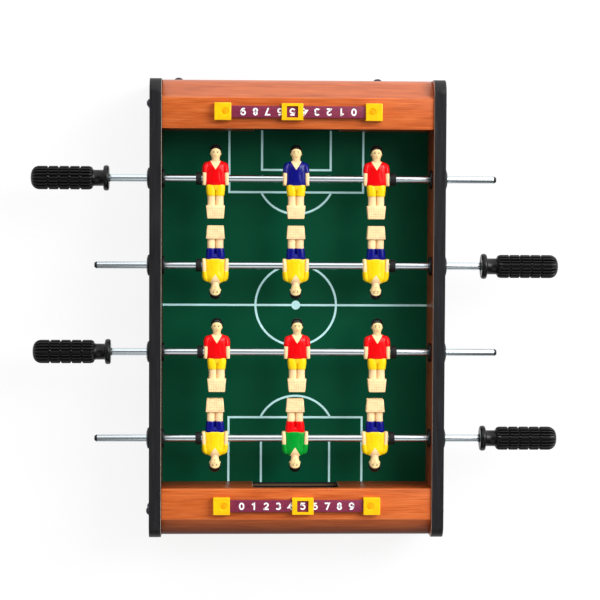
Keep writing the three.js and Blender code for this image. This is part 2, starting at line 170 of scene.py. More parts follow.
# ---------------------------------------------------------------- materials
class Surface:
    """One procedural material: a Principled shader and short calls that add the nodes used here."""

    def __init__(self, name, roughness=0.4, metallic=0.0, coat=0.0, coat_roughness=0.1, specular=0.5):
        self.material = bpy.data.materials.new(name)
        self.material.use_nodes = True
        self.tree = self.material.node_tree
        self.inputs = self.tree.nodes["Principled BSDF"].inputs
        for socket, value in (("Roughness", roughness), ("Metallic", metallic), ("Coat Weight", coat),
                              ("Coat Roughness", coat_roughness), ("Specular IOR Level", specular)):
            self.inputs[socket].default_value = value
        self.place = self.tree.nodes.new("ShaderNodeTexCoord").outputs["Object"]

    def noise(self, scale, stretch=(1, 1, 1), detail=3.0, roughness=0.5, distortion=0.0):
        """Noise over the object's own coordinates, which are first multiplied by stretch."""
        mapping = new_node(self.tree, "ShaderNodeMapping", {"Vector": self.place, "Scale": stretch})
        inputs = {"Vector": mapping.outputs["Vector"], "Scale": scale, "Detail": detail,
                  "Roughness": roughness, "Distortion": distortion}
        return new_node(self.tree, "ShaderNodeTexNoise", inputs).outputs["Fac"]

    def ramp(self, factor, stops):
        """A colour ramp of (position, sRGB colour) stops."""
        node = new_node(self.tree, "ShaderNodeValToRGB", {"Fac": factor})
        elements = node.color_ramp.elements
        while len(elements) < len(stops):
            elements.new(0.5)
        for element, (position, color) in zip(elements, stops):
            element.position = position
            element.color = linear(color)
        return node.outputs["Color"]

    def spread(self, factor, low, high):
        """Maps the middle of a noise, 0.3 to 0.7, onto low to high."""
        inputs = {"Value": factor, "From Min": 0.3, "From Max": 0.7, "To Min": low, "To Max": high}
        return new_node(self.tree, "ShaderNodeMapRange", inputs).outputs["Result"]

    def mix(self, factor, first, second):
        inputs = {0: factor, 6: first, 7: second}
        return new_node(self.tree, "ShaderNodeMix", inputs, data_type="RGBA").outputs[2]

    def finish(self, color, grain, rough=None, bump=None):
        """Ends the material: its colour, and a roughness range and bump (mm, strength) along the grain."""
        feed(self.inputs["Base Color"], color)
        if rough:
            feed(self.inputs["Roughness"], self.spread(grain, *rough))
        if bump:
            inputs = {"Height": grain, "Distance": bump[0] * MM, "Strength": bump[1]}
            feed(self.inputs["Normal"], new_node(self.tree, "ShaderNodeBump", inputs).outputs["Normal"])
        return self.material


def linear(color):
    """An sRGB colour, 0 to 255, as linear RGBA."""
    parts = [channel / 255 for channel in color]
    return tuple(c / 12.92 if c <= 0.04045 else ((c + 0.055) / 1.055) ** 2.4 for c in parts) + (1.0,)


def shade(color, factor):
    return tuple(min(255, channel * factor) for channel in color)


# Painted shade on the near slope: where it deepens going down, and where it ends again: heights, then shares
# of shade.
FOOT_SHADE_DEEPENS = (48 * MM, 67 * MM, 0.92, 0.1)
FOOT_SHADE_ENDS = (26 * MM, 42 * MM, 0.15, 1.0)


def wood_print(name, along, dark, middle, light, gloss=0.34, specular=0.2, foot=None):
    """Printed wood laminate: fibres and a slow figure along one axis, with painted shade towards foot round a
    fold.
    """
    surface = Surface(name, roughness=gloss, specular=specular)
    fibre = tuple(0.035 if axis == along else 1.0 for axis in "XYZ")
    figure = tuple(0.12 if axis == along else 1.0 for axis in "XYZ")
    streaks = surface.noise(1250, fibre, detail=4, roughness=0.6)
    bands = surface.noise(190, figure, detail=2, distortion=0.6)
    pores = surface.noise(2600, fibre, detail=2)
    base = surface.ramp(streaks, [(0.28, dark), (0.5, middle), (0.75, light)])
    slow = surface.ramp(bands, [(0.3, shade(dark, 0.92)), (0.52, middle), (0.7, light)])
    both = surface.mix(0.34, base, slow)
    pored = surface.mix(surface.spread(pores, 0.0, 0.35), both, linear(shade(dark, 0.75)))
    face = surface.mix(0.35, both, pored)
    # With foot, the colour darkens towards that colour low on the board round its lower fold: painted shade.
    if foot:
        tree = surface.tree
        height = new_node(tree, "ShaderNodeSeparateXYZ", {"Vector": surface.place}).outputs["Z"]
        painted_shade = combine(tree, "MULTIPLY", smooth_step(tree, height, *FOOT_SHADE_DEEPENS),
                       smooth_step(tree, height, *FOOT_SHADE_ENDS))
        face = surface.mix(painted_shade, face, linear(foot))
    return surface.finish(face, streaks, (gloss * 0.85, gloss * 1.25), (0.02, 0.5))


def speckled(name, stops, scale, stretch=(1, 1, 1), detail=3.0, mottle=0.5, rough=None, bump=None, **shader):
    """A material whose colour, roughness and bump all follow one noise."""
    surface = Surface(name, **shader)
    grain = surface.noise(scale, stretch, detail, mottle)
    return surface.finish(surface.ramp(grain, stops), grain, rough, bump)


def fibreboard(name, depth):
    colors = ((0.3, (128, 92, 60)), (0.55, (158, 118, 82)), (0.75, (184, 148, 108)))
    # A depth below 1 darkens the colours: painted shade.
    stops = [(position, shade(color, depth)) for position, color in colors]
    return speckled(name, stops, 2500, detail=5, mottle=0.7, bump=(0.08, 0.6), roughness=0.85)


def field_print():
    surface = Surface("field_green", roughness=0.3, specular=0.12)
    speckle = surface.noise(1500)
    cloud = surface.noise(14, detail=2)
    fine = surface.ramp(speckle, [(0.3, (0, 66, 42)), (0.7, (1, 82, 56))])
    slow = surface.ramp(cloud, [(0.3, (0, 67, 43)), (0.7, (0, 81, 55))])
    return surface.finish(surface.mix(0.5, fine, slow), speckle, (0.3, 0.42), (0.012, 0.4))


def moulded(name, color, roughness=0.3, coat=0.15, depth=0.01, specular=0.4):
    """Moulded or painted plastic: slight flow marks in its colour and a fine satin texture."""
    surface = Surface(name, roughness=roughness, coat=coat, coat_roughness=0.12, specular=specular)
    flow = surface.noise(160)
    fine = surface.noise(4200, detail=2)
    tint = surface.ramp(flow, [(0.3, shade(color, 0.95)), (0.7, shade(color, 1.04))])
    return surface.finish(tint, fine, (roughness * 0.85, roughness * 1.2), (depth, 0.5))


FLOOR = speckled("floor_pale", [(0.3, (99, 99, 100)), (0.7, (104, 104, 104))], 6, roughness=0.35)
BLACK = speckled("black_laminate", [(0.25, (17, 16, 18)), (0.6, (24, 23, 26)), (0.8, (36, 34, 38))], 700,
                 (1.0, 0.05, 1.0), rough=(0.36, 0.5), bump=(0.03, 0.5), specular=0.25)
WOOD_ALONG_X = wood_print("wood_print_x", "X", (158, 66, 22), (200, 96, 40), (218, 122, 64))
WOOD_ALONG_Y = wood_print("wood_print_y", "Y", (122, 50, 26), (148, 66, 34), (168, 84, 48), 0.3, 0.55)
# The left panel's inner face: a much darker copy of the right panel's wood print, painted shade.
WOOD_LEFT_SHADED = wood_print("wood_print_left", "Y", (46, 26, 18), (64, 36, 24), (84, 50, 34))
# The far slope: the plate's wood print in a darker colour and much glossier, so that it renders paler: a
# painted sheen.
WOOD_SLOPE_FAR_SHEEN = wood_print("wood_print_slope_far", "X", (141, 59, 20), (179, 86, 36), (195, 109, 57),
                            specular=0.6)
# The near slope: the plate's wood print, barely glossy, with painted shade towards its foot.
WOOD_SLOPE_NEAR_SHADED = wood_print("wood_print_slope_near", "X", (158, 66, 22), (200, 96, 40), (218, 122, 64),
                             specular=0.05, foot=(50, 14, 5))
# The goal walls: a darker copy of the plate's wood print, painted shade for walls standing deep between the
# ends.
WOOD_WALL_SHADED = wood_print("wood_print_wall", "X", (120, 52, 20), (142, 64, 28), (160, 80, 40))
# The folds: a lighter copy of the wood print, a painted highlight along each fold line.
WOOD_FOLD_HIGHLIGHT = wood_print("wood_print_fold", "X", (184, 88, 40), (206, 106, 54), (222, 128, 74))
# A light grey on the steep rounding of the panels' inner top edges and round the goal mouths: partly the bare
# board edge, partly a painted highlight.
CUT_EDGE_AND_HIGHLIGHT = moulded("cut_edge", (166, 156, 144), roughness=0.6, coat=0, specular=0.2)
MOUTH_EDGE = moulded("mouth_edge", (30, 18, 12), roughness=0.6, coat=0, specular=0.2)
FIBREBOARD = fibreboard("fibreboard", 1.0)
# The bare strip inside the goal mouths: the fibreboard darkened, painted shade.
LEDGE_BOARD_SHADED = fibreboard("ledge_board", 0.62)
FIELD = field_print()
LINES = speckled("line_white", [(0.28, (182, 236, 238)), (0.6, (204, 250, 252))], 1800)
LINES_BRIGHT = moulded("digit_white", (250, 250, 252), roughness=0.45, coat=0)
CHROME = speckled("chrome_tube", [(0.3, (194, 204, 209)), (0.7, (212, 220, 224))], 3500, (0.01, 1.0, 1.0), 2,
                  rough=(0.17, 0.26), bump=(0.001, 0.3), metallic=1.0)
GRIP = speckled("grip_black", [(0.3, (4, 4, 4)), (0.7, (9, 9, 9))], 3200, mottle=0.6,
                rough=(0.24, 0.36), bump=(0.02, 0.5), specular=0.26)
NYLON = moulded("nylon_black", (14, 14, 15), roughness=0.42, coat=0, depth=0.03, specular=0.3)
RUBBER = moulded("rubber_black", (12, 12, 12), roughness=0.6, coat=0, depth=0.04, specular=0.3)
SCREW = speckled("screw_black", [(0.3, (38, 40, 46)), (0.7, (62, 66, 74))], 3000, rough=(0.25, 0.45),
                 metallic=0.85)
YELLOW = moulded("plastic_yellow", (252, 190, 0), roughness=0.32, coat=0.06, specular=0.25)
ORANGE = moulded("plastic_orange", (246, 160, 0), roughness=0.6, coat=0, specular=0.1)
PURPLE = speckled("counter_purple", [(0.3, (104, 28, 62)), (0.5, (122, 36, 66)), (0.72, (138, 46, 64))], 700,
                  detail=4, mottle=0.7, rough=(0.36, 0.5), specular=0.3)
# The face: a slightly lighter copy of the skin paint, painted light for the rounded head.
FACE_PAINT_LIT = moulded("paint_face", (255, 218, 156), roughness=0.36, coat=0.05, specular=0.2)
SKIN_PAINT = moulded("paint_skin", (252, 212, 160), roughness=0.36, coat=0.05, specular=0.2)
HAIR_PAINT = moulded("paint_hair", (15, 10, 12), roughness=0.3)
RED = moulded("paint_red", (236, 2, 8), roughness=0.26, coat=0.06, specular=0.15)
YELLOW_PAINT = moulded("paint_yellow", (252, 206, 8), roughness=0.28, coat=0.1, specular=0.25)
NAVY = moulded("paint_navy", (4, 8, 116), roughness=0.26, coat=0.08, specular=0.2)
GREEN = moulded("paint_green", (0, 148, 44), roughness=0.26, coat=0.06, specular=0.15)
INK_PAINT = moulded("paint_ink", (44, 28, 20), roughness=0.4, coat=0)
LIP_PAINT = moulded("paint_lip", (196, 104, 80), roughness=0.4, coat=0)


# ---------------------------------------------------------------- mesh helpers
def mesh_from(name, vertices, faces, materials, indices=None, sharp=None):
    """A mesh from lists. With sharp, its faces are turned out and shaded smooth up to that many degrees."""
    mesh = bpy.data.meshes.new(name)
    mesh.from_pydata(vertices, [], faces)
    for material in materials:
        mesh.materials.append(material)
    if indices:
        mesh.polygons.foreach_set("material_index", indices)
    if sharp:
        bm = bmesh.new()
        bm.from_mesh(mesh)
        bmesh.ops.recalc_face_normals(bm, faces=bm.faces)
        bm.to_mesh(mesh)
        bm.free()
        mesh.shade_smooth()
        mesh.set_sharp_from_angle(angle=math.radians(sharp))
    return mesh


def object_from(name, bm, materials):
    """Ends a bmesh as an object, with its faces turned out."""
    bmesh.ops.recalc_face_normals(bm, faces=bm.faces)
    mesh = bpy.data.meshes.new(name)
    bm.to_mesh(mesh)
    bm.free()
    for material in materials:
        mesh.materials.append(material)
    return link_object(name, mesh)


def bridge(first, second):
    """Faces between two rings of vertex numbers, either of which may be a single point."""
    faces = []
    count = max(len(first), len(second))
    for step in range(count):
        after = (step + 1) % count
        corners = [ring[number % len(ring)]
                   for ring, number in ((first, step), (first, after), (second, after), (second, step))]
        faces.append(tuple(dict.fromkeys(corners)))
    return faces


def capped(rings):
    """Faces of a closed skin over rings of vertex numbers: its first end, its sides and its last end."""
    sides = [face for pair in zip(rings, rings[1:]) for face in bridge(*pair)]
    return [tuple(reversed(rings[0])), *sides, tuple(rings[-1])]


def soften(bm, width, segments=3, angle=30):
    """Rounds every edge sharper than angle and returns the roundings. Flat faces stay flat."""
    flat = {face for face in bm.faces}
    edges = [edge for edge in bm.edges
             if len(edge.link_faces) == 2 and edge.calc_face_angle(0) > math.radians(angle)]
    made = bmesh.ops.bevel(bm, geom=edges, offset=width, segments=segments, profile=0.5,
                           affect="EDGES", clamp_overlap=True)
    rounded = set(made["faces"])
    for face in bm.faces:
        face.smooth = face in rounded or face not in flat
    return rounded


def prism(outline, start, end, axis, bm=None):
    """Adds an outline across an axis, as a solid from start to end, to bm or to a new bmesh."""
    if bm is None:
        bm = bmesh.new()
    order = {"X": lambda u, v, w: (w, u, v), "Y": lambda u, v, w: (u, w, v),
             "Z": lambda u, v, w: (u, v, w)}[axis]
    face = bm.faces.new([bm.verts.new(order(u, v, start)) for u, v in outline])
    out = bmesh.ops.extrude_face_region(bm, geom=[face])
    moved = [item for item in out["geom"] if isinstance(item, bmesh.types.BMVert)]
    bmesh.ops.translate(bm, verts=moved, vec=Vector(order(0, 0, end - start)))
    bmesh.ops.recalc_face_normals(bm, faces=bm.faces)
    return bm


def arc(center, radius, start, end, steps):
    """Points along an arc, angles in degrees."""
    points = []
    for step in range(steps + 1):
        angle = math.radians(start + (end - start) * step / steps)
        points.append((center[0] + radius * math.cos(angle), center[1] + radius * math.sin(angle)))
    return points


def spoke(radius, angle):
    return radius * math.cos(angle), radius * math.sin(angle)


def turned(name, profile, material, segments=64):
    """A solid turned about X from (x, radius) points; a profile that ends off the axis is closed."""
    vertices, rings = [], []
    for x, radius in profile:
        count = segments if radius > 0 else 1
        rings.append(range(len(vertices), len(vertices) + count))
        vertices += [(x, *spoke(radius, 2 * math.pi * step / count)) for step in range(count)]
    pairs = list(zip(rings, rings[1:]))
    if profile[0][1] > 0:
        pairs.append((rings[-1], rings[0]))
    faces = [face for pair in pairs for face in bridge(*pair)]
    return link_object(name, mesh_from(name, vertices, faces, [material], sharp=40))


def rounded_profile(points, radius, steps=4):
    """The same polyline with its inner corners rounded to radius."""
    result = [points[0]]
    for before, corner, after in zip(points, points[1:], points[2:]):
        corner, before, after = Vector(corner), Vector(before), Vector(after)
        cut = min(radius, (before - corner).length * 0.45, (after - corner).length * 0.45)
        start = corner + (before - corner).normalized() * cut
        end = corner + (after - corner).normalized() * cut
        for step in range(steps + 1):
            t = step / steps
            result.append(tuple(start * (1 - t) ** 2 + corner * 2 * t * (1 - t) + end * t * t))
    result.append(points[-1])
    return result


def carve(piece, *tools):
    """Cuts the tool objects out of a piece and deletes them."""
    bpy.context.view_layer.update()
    for tool in tools:
        modifier = piece.modifiers.new("cut", "BOOLEAN")
        modifier.operation = "DIFFERENCE"
        modifier.solver = "EXACT"
        modifier.object = tool
    graph = bpy.context.evaluated_depsgraph_get()
    carved = bpy.data.meshes.new_from_object(piece.evaluated_get(graph))
    for polygon in carved.polygons:
        if max(abs(axis) for axis in polygon.normal) > 0.9995:
            polygon.use_smooth = False
    piece.modifiers.clear()
    piece.data = carved
    for tool in tools:
        bpy.data.objects.remove(tool)
    return piece


def put(piece, place, way=1):
    """Places a piece drawn for the + side, and turns it half round for the - side."""
    piece.location = place
    piece.rotation_euler.z = 0 if way > 0 else math.pi


def settle(piece, body, slot, *nodes):
    """Rides a finished piece on its body, in place of the CAD nodes it stands for."""
    bpy.context.view_layer.update()
    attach(piece, body)
    if nodes:
        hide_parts(*nodes)


def middle(node):
    low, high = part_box(node)
    return (low + high) / 2


def span(node):
    low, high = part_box(node)
    return high - low


def reach(node, axis, way):
    """How far out a node starts and ends along an axis, measured from the middle towards one side."""
    low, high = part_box(node)
    return sorted((way * low[axis], way * high[axis]))


def bar_shape(node):
    """A node's box as a bmesh, for a piece whose edges are then rounded."""
    low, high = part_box(node)
    return prism(rectangle(low.y, low.z, high.y, high.z), low.x, high.x, "X")


# ---------------------------------------------------------------- side panels
PANEL_CORNER = 11 * MM
EDGE_SOFT = 0.45 * MM
BUSHING_HOLE = 5.15 * MM
DRILL_HALF = 30 * MM
SAME_PLACE = 1e-6


def side_panel(side):
    node = f"side_panel_{side}"
    low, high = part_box(node)
    top = high.z - PANEL_CORNER
    outline = [(low.y, low.z), (high.y, low.z)]
    outline += arc((high.y - PANEL_CORNER, top), PANEL_CORNER, 0, 90, 16)
    outline += arc((low.y + PANEL_CORNER, top), PANEL_CORNER, 90, 180, 16)
    bm = prism(outline, low.x, high.x, "X")
    inner_x = WAY[side] * reach(node, 0, WAY[side])[0]
    for face in bm.faces:
        face.material_index = 1 if abs(face.calc_center_median().x - inner_x) < SAME_PLACE else 0
    soften(bm, EDGE_SOFT, angle=40)
    # The steep part of the inner top edge's rounding takes the light grey: partly bare board edge, partly
    # painted highlight.
    for face in bm.faces:
        on_edge = abs(face.calc_center_median().x - inner_x) < EDGE_SOFT
        if on_edge and 0.6 < abs(face.normal.x) < 0.99 and face.normal.z > 0.1:
            face.material_index = 2
    # The left panel's inside takes the darker copy of the wood print: painted shade.
    inside = WOOD_LEFT_SHADED if side == "left" else WOOD_ALONG_Y
    panel = object_from(node + "_board", bm, [BLACK, inside, CUT_EDGE_AND_HIGHLIGHT])
    profile = [(-DRILL_HALF, 0), (-DRILL_HALF, BUSHING_HOLE), (DRILL_HALF, BUSHING_HOLE), (DRILL_HALF, 0)]
    drills = []
    for rod in RODS:
        drills.append(turned("hole", profile, BLACK, 48))
        drills[-1].location = middle(f"bushing_{rod}_{side}")
    settle(carve(panel, *drills), "frame", "black_laminate", node)


SCREW_Y = 153.5 * MM
SCREW_HEIGHTS = (21.5 * MM, 45.0 * MM)
SCREW_HEAD, SCREW_PROUD = 3.6 * MM, 2.9 * MM
SCREW_SHANK, SCREW_LENGTH = 1.4 * MM, 8 * MM
END_SCREW_HEAD = 4.1 * MM
END_SCREW_SHANK, END_SCREW_LENGTH = 1.2 * MM, 12 * MM
INSIDE_NODE = 0.995


def screw_head(name, head, proud, shank, length):
    """A round-headed screw along X with a cross recess; its seat is at x = 0 and the head towards +X."""
    sphere = (head * head + proud * proud) / (2 * proud)
    dome = []
    steps = 8
    for step in range(steps + 1):
        radius = head * (1 - step / steps)
        dome.append((math.sqrt(sphere ** 2 - radius ** 2) - sphere + proud, radius))
    profile = [(-length, 0), (-length + shank, shank), (0, shank), (0, head)] + dome[1:]
    screw = turned(name, profile, SCREW, 40)
    blades = []
    for turn in (45, 135):
        bm = bmesh.new()
        bmesh.ops.create_cube(bm, size=1)
        bmesh.ops.scale(bm, vec=(proud * 1.1, head * 1.15, head * 0.2), verts=bm.verts)
        turning = Matrix.Rotation(math.radians(turn), 3, "X")
        bmesh.ops.rotate(bm, cent=(0, 0, 0), matrix=turning, verts=bm.verts)
        bmesh.ops.translate(bm, vec=(proud, 0, 0), verts=bm.verts)
        blades.append(object_from("blade", bm, [SCREW]))
    return carve(screw, *blades)


def side_screws():
    pattern = screw_head("side_screw", SCREW_HEAD, SCREW_PROUD, SCREW_SHANK, SCREW_LENGTH)
    mesh = pattern.data
    bpy.data.objects.remove(pattern)
    for side in SIDES:
        way = WAY[side]
        face = way * reach(f"side_panel_{side}", 0, way)[1]
        for end in ENDS:
            for level, height in zip(("lower", "upper"), SCREW_HEIGHTS):
                screw = link_object(f"side_screw_{side}_{end}_{level}", mesh)
                put(screw, (face, WAY[end] * SCREW_Y, height), way)
                settle(screw, "frame", "black_screw")


def end_screws():
    for end in ENDS:
        way = WAY[end]
        seat = reach(f"end_board_{end}", 1, way)[1]
        for number in (1, 2):
            node = f"end_screw_{end}_{number}"
            place = middle(node)
            proud = (reach(node, 1, way)[1] - seat) * INSIDE_NODE
            screw = screw_head(node + "_head", END_SCREW_HEAD, proud, END_SCREW_SHANK, END_SCREW_LENGTH)
            screw.location = (place.x, way * seat, place.z)
            screw.rotation_euler.z = way * math.pi / 2
            settle(screw, "frame", "black_screw", node)


# ---------------------------------------------------------------- playfield
LINE_WIDTH = 1.6 * MM
LINE_THICK = 0.03 * MM
PRINT_CENTER = (0.4 * MM, 1.45 * MM)
CIRCLE_RADIUS = 30.8 * MM
DOT_RADIUS = 3.4 * MM
BOX_HALF = 51.1 * MM
BOX_LINE = 86.1 * MM
GOAL_AREA_HALF = 26.2 * MM
GOAL_AREA_LINE = 103.1 * MM
BOX_ARC_RADIUS = 30 * MM
BOX_ARC_CENTER = 99.6 * MM
PRINT_END = 134.6 * MM
THRESHOLD_GAP = 1.3 * MM
LEDGE = 1.6 * MM


def playfield():
    """The board: green print up to the goal mouths, a black seam, a bare strip in painted shade and black
    painted shade on the board beyond it.
    """
    low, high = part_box("playfield")
    seam = PRINT_END + THRESHOLD_GAP
    ledge = seam + LEDGE
    stations = [low.y, -ledge, -seam, -PRINT_END, PRINT_END, seam, ledge, high.y]
    corners = [(low.x, high.z), (high.x, high.z), (high.x, low.z), (low.x, low.z)]
    vertices = [(x, y, z) for y in stations for x, z in corners]
    rings = [range(start, start + 4) for start in range(0, len(vertices), 4)]
    indices = [1]
    # Top faces from the near end: black painted shade, the shaded bare strip, the black seam, the print, and
    # the same again to the far end.
    for top_material in (2, 3, 2, 0, 2, 3, 2):
        indices += [top_material, 1, 1, 1]
    materials = [FIELD, FIBREBOARD, BLACK, LEDGE_BOARD_SHADED]
    mesh = mesh_from("playfield_board", vertices, capped(rings), materials, indices + [1])
    settle(link_object("playfield_board", mesh), "frame", "green_field", "playfield")


def ribbon(bm, points, width, low, high, closed=False):
    """Adds a flat strip of constant width along a line of (x, y) points, with mitred corners."""
    line = [Vector(point) for point in points]
    columns = []
    for index, point in enumerate(line):
        before = line[index - 1] if index or closed else None
        after = line[(index + 1) % len(line)] if index + 1 < len(line) or closed else None
        headings = [(b - a).normalized() for a, b in ((before, point), (point, after)) if a and b]
        along = sum(headings, Vector((0, 0))).normalized()
        half = width / 2 / max(0.4, along.dot(headings[0]))
        across = Vector((-along.y, along.x)) * half
        columns.append([bm.verts.new((*(point + across * side), z))
                        for side, z in ((-1, low), (1, low), (1, high), (-1, high))])
    pairs = list(zip(columns, columns[1:]))
    if closed:
        pairs.append((columns[-1], columns[0]))
    else:
        bm.faces.new(columns[0])
        bm.faces.new(list(reversed(columns[-1])))
    for first, second in pairs:
        for corner in range(4):
            after = (corner + 1) % 4
            bm.faces.new((first[corner], second[corner], second[after], first[after]))


def field_lines():
    """The white print, as a skin of paint on the board."""
    low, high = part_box("playfield")
    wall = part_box("goal_wall_far")[0].y
    skin = (high.z - LINE_THICK, high.z + LINE_THICK)
    half = LINE_WIDTH / 2
    cx, cy = PRINT_CENTER
    bm = bmesh.new()
    circle = arc((cx, cy), CIRCLE_RADIUS, 0, 360, 96)[:-1]
    ribbon(bm, circle, LINE_WIDTH, *skin, closed=True)
    prism(arc((cx, cy), DOT_RADIUS, 0, 360, 48)[:-1], *skin, "Z", bm)
    inner, outer = CIRCLE_RADIUS - half, CIRCLE_RADIUS + half
    halfway = ((low.x, cx - outer), (cx - inner, cx - DOT_RADIUS),
               (cx + DOT_RADIUS, cx + inner), (cx + outer, high.x))
    for start, end in halfway:
        ribbon(bm, [(start, cy), (end, cy)], LINE_WIDTH, *skin)
    for way in (1, -1):
        for half_width, line, back in ((BOX_HALF, BOX_LINE, wall),
                                       (GOAL_AREA_HALF, GOAL_AREA_LINE, PRINT_END)):
            line_y = cy + way * line
            corners = [(cx - half_width, way * back), (cx - half_width, line_y),
                       (cx + half_width, line_y), (cx + half_width, way * back)]
            ribbon(bm, corners, LINE_WIDTH, *skin)
        drop = math.degrees(math.asin((BOX_ARC_CENTER - BOX_LINE + half) / BOX_ARC_RADIUS))
        start, end = (180 + drop, 360 - drop) if way > 0 else (drop, 180 - drop)
        ribbon(bm, arc((cx, cy + way * BOX_ARC_CENTER), BOX_ARC_RADIUS, start, end, 40), LINE_WIDTH, *skin)
    settle(object_from("field_lines", bm, [LINES]), "frame", "green_field")


# ---------------------------------------------------------------- wooden ends
GOAL_CORNER = 7 * MM
GOAL_HALF = 32.25 * MM
GOAL_TOP = 36 * MM
WALL_SOFT = 0.3 * MM


def goal_wall(end):
    """The inner wall, with the goal mouth open down to the playfield."""
    node = f"goal_wall_{end}"
    low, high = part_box(node)
    top = low.z + GOAL_TOP
    corner_x, corner_z = GOAL_HALF - GOAL_CORNER, top - GOAL_CORNER
    outline = [(low.x, low.z), (-GOAL_HALF, low.z)]
    outline += arc((-corner_x, corner_z), GOAL_CORNER, 180, 90, 12)
    outline += arc((corner_x, corner_z), GOAL_CORNER, 90, 0, 12)
    outline += [(GOAL_HALF, low.z), (high.x, low.z), (high.x, high.z), (low.x, high.z)]
    bm = prism(outline, low.y, high.y, "Y")
    inner_y = WAY[end] * reach(node, 1, WAY[end])[0]
    # The inner face takes the darker wood print, painted shade; the other faces take the dark mouth edge
    # colour.
    for face in bm.faces:
        face.material_index = 0 if abs(face.calc_center_median().y - inner_y) < SAME_PLACE else 1
    soften(bm, WALL_SOFT, 2, 40)
    # The rounding round the goal mouth takes the light grey: partly bare board edge, partly painted
    # highlight.
    for face in bm.faces:
        center = face.calc_center_median()
        round_mouth = abs(center.x) < GOAL_HALF + 0.4 * MM and low.z + 0.5 * MM < center.z < top + 0.4 * MM
        if round_mouth and abs(center.y - inner_y) < WALL_SOFT and 0.1 < abs(face.normal.y) < 0.98:
            face.material_index = 2
    wall = object_from(node + "_board", bm, [WOOD_WALL_SHADED, MOUTH_EDGE, CUT_EDGE_AND_HIGHLIGHT])
    settle(wall, "frame", "wood_laminate", node)


PLATE_THICK = 6 * MM
PLATE_OUTER = 156.8 * MM
SLOPE_FOOT = 50 * MM
FOLD_RADIUS = 18 * MM


def end_board(end):
    """Score plate, sloping face and upright foot, as one folded board with a bare inside."""
    node = f"end_board_{end}"
    low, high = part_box(node)
    way = WAY[end]
    inner, outer = reach(node, 1, way)
    slope = math.atan2(outer - PLATE_OUTER, high.z - SLOPE_FOOT)
    lower_fold = SLOPE_FOOT - PLATE_THICK * math.tan(slope / 2)
    upper_fold = PLATE_OUTER - PLATE_THICK * math.tan((math.pi / 2 - slope) / 2)
    outline = [(inner, high.z), (inner, high.z - PLATE_THICK), (upper_fold, high.z - PLATE_THICK),
               (outer - PLATE_THICK, lower_fold), (outer - PLATE_THICK, low.z), (outer, low.z)]
    center = (outer - FOLD_RADIUS, SLOPE_FOOT - FOLD_RADIUS * math.tan(slope / 2))
    outline += arc(center, FOLD_RADIUS, 0, math.degrees(slope), 14) + [(PLATE_OUTER, high.z)]
    bm = prism([(way * y, z) for y, z in outline], low.x, high.x, "X")
    for face in bm.faces:
        center, normal = face.calc_center_median(), face.normal
        on_plate = normal.z > 0 and center.z > high.z - PLATE_THICK
        on_slope = way * normal.y > 0.4 and way * center.y > PLATE_OUTER
        on_edge = abs(center.y - way * inner) < SAME_PLACE
        face.material_index = 0 if on_plate or on_slope or on_edge else 1
    folds = soften(bm, 0.5 * MM, 3, 20)
    # The rounded folds on the printed side take the lighter wood print: a painted highlight.
    for face in folds:
        if face.material_index == 0 and abs(face.normal.x) < 0.2:
            face.material_index = 2
    for face in bm.faces:
        if face.material_index == 0 and way * face.calc_center_median().y > PLATE_OUTER:
            face.material_index = 3
    # Each slope takes its own copy of the wood print: a painted sheen on the far one, painted shade on the
    # near one.
    slope_print = WOOD_SLOPE_FAR_SHEEN if end == "far" else WOOD_SLOPE_NEAR_SHADED
    board = object_from(node + "_board", bm, [WOOD_ALONG_X, FIBREBOARD, WOOD_FOLD_HIGHLIGHT, slope_print])
    settle(board, "frame", "wood_laminate", node)


# ---------------------------------------------------------------- score counters
DIGIT_STROKE = 1.1 * MM
DIGIT_PITCH = 9.1
DIGIT_RAISED = 0.04 * MM
DIMPLE_RADIUS = 3.0 * MM
DIMPLE_OFFSET = 1.5 * MM
DIMPLE_DEPTH = 0.5 * MM
WINDOW_HALF = 4.2 * MM
SLIDER_GAP = 0.3 * MM


def counter_bar(end):
    node = f"counter_bar_{end}"
    bm = bar_shape(node)
    soften(bm, 0.35 * MM)
    settle(object_from(node + "_strip", bm, [PURPLE]), "frame", "purple_plastic", node)


def oval(cx, cy, rx, ry, start, end, steps=16):
    """Points along an oval from one angle in degrees to another."""
    return [(cx + rx * x, cy + ry * y) for x, y in arc((0, 0), 1, start, end, steps)]


# Plain bold numerals as lines through the middle of their strokes, in millimetres round each digit's centre.
NUMERALS = {
    0: [(oval(0, 0, 1.45, 2.2, 0, 360, 28)[:-1], True)],
    1: [([(0.3, -2.75), (0.3, 2.75)], False), ([(0.3, 2.15), (-1.45, 1.15)], False)],
    2: [(oval(0, 0.8, 1.4, 1.4, 165, -38) + [(-1.35, -2.1)], False), ([(-1.9, -2.2), (1.95, -2.2)], False)],
    3: [(oval(-0.1, 1.1, 1.35, 1.1, 155, -90), False), (oval(-0.1, -1.05, 1.55, 1.15, 90, -155), False)],
    4: [([(0.65, -2.75), (0.65, 2.75)], False), ([(0.55, 2.35), (-1.75, -1.05), (2.05, -1.05)], False)],
    5: [([(1.6, 2.2), (-1.05, 2.2), (-1.4, 0.05)], False), (oval(-0.1, -0.65, 1.6, 1.55, 145, -155), False)],
    6: [(oval(0.05, -0.8, 1.45, 1.4, 0, 360, 24)[:-1], True), (oval(0.35, -0.3, 1.8, 2.5, 62, 190), False)],
    7: [([(-1.85, 2.2), (1.55, 2.2), (-0.45, -2.75)], False)],
    8: [(oval(0, 1.22, 1.1, 1.0, 0, 360, 24)[:-1], True),
        (oval(0, -1.12, 1.35, 1.12, 0, 360, 24)[:-1], True)],
}
NUMERALS[9] = [([(-x, -y) for x, y in line], closed) for line, closed in NUMERALS[6]]


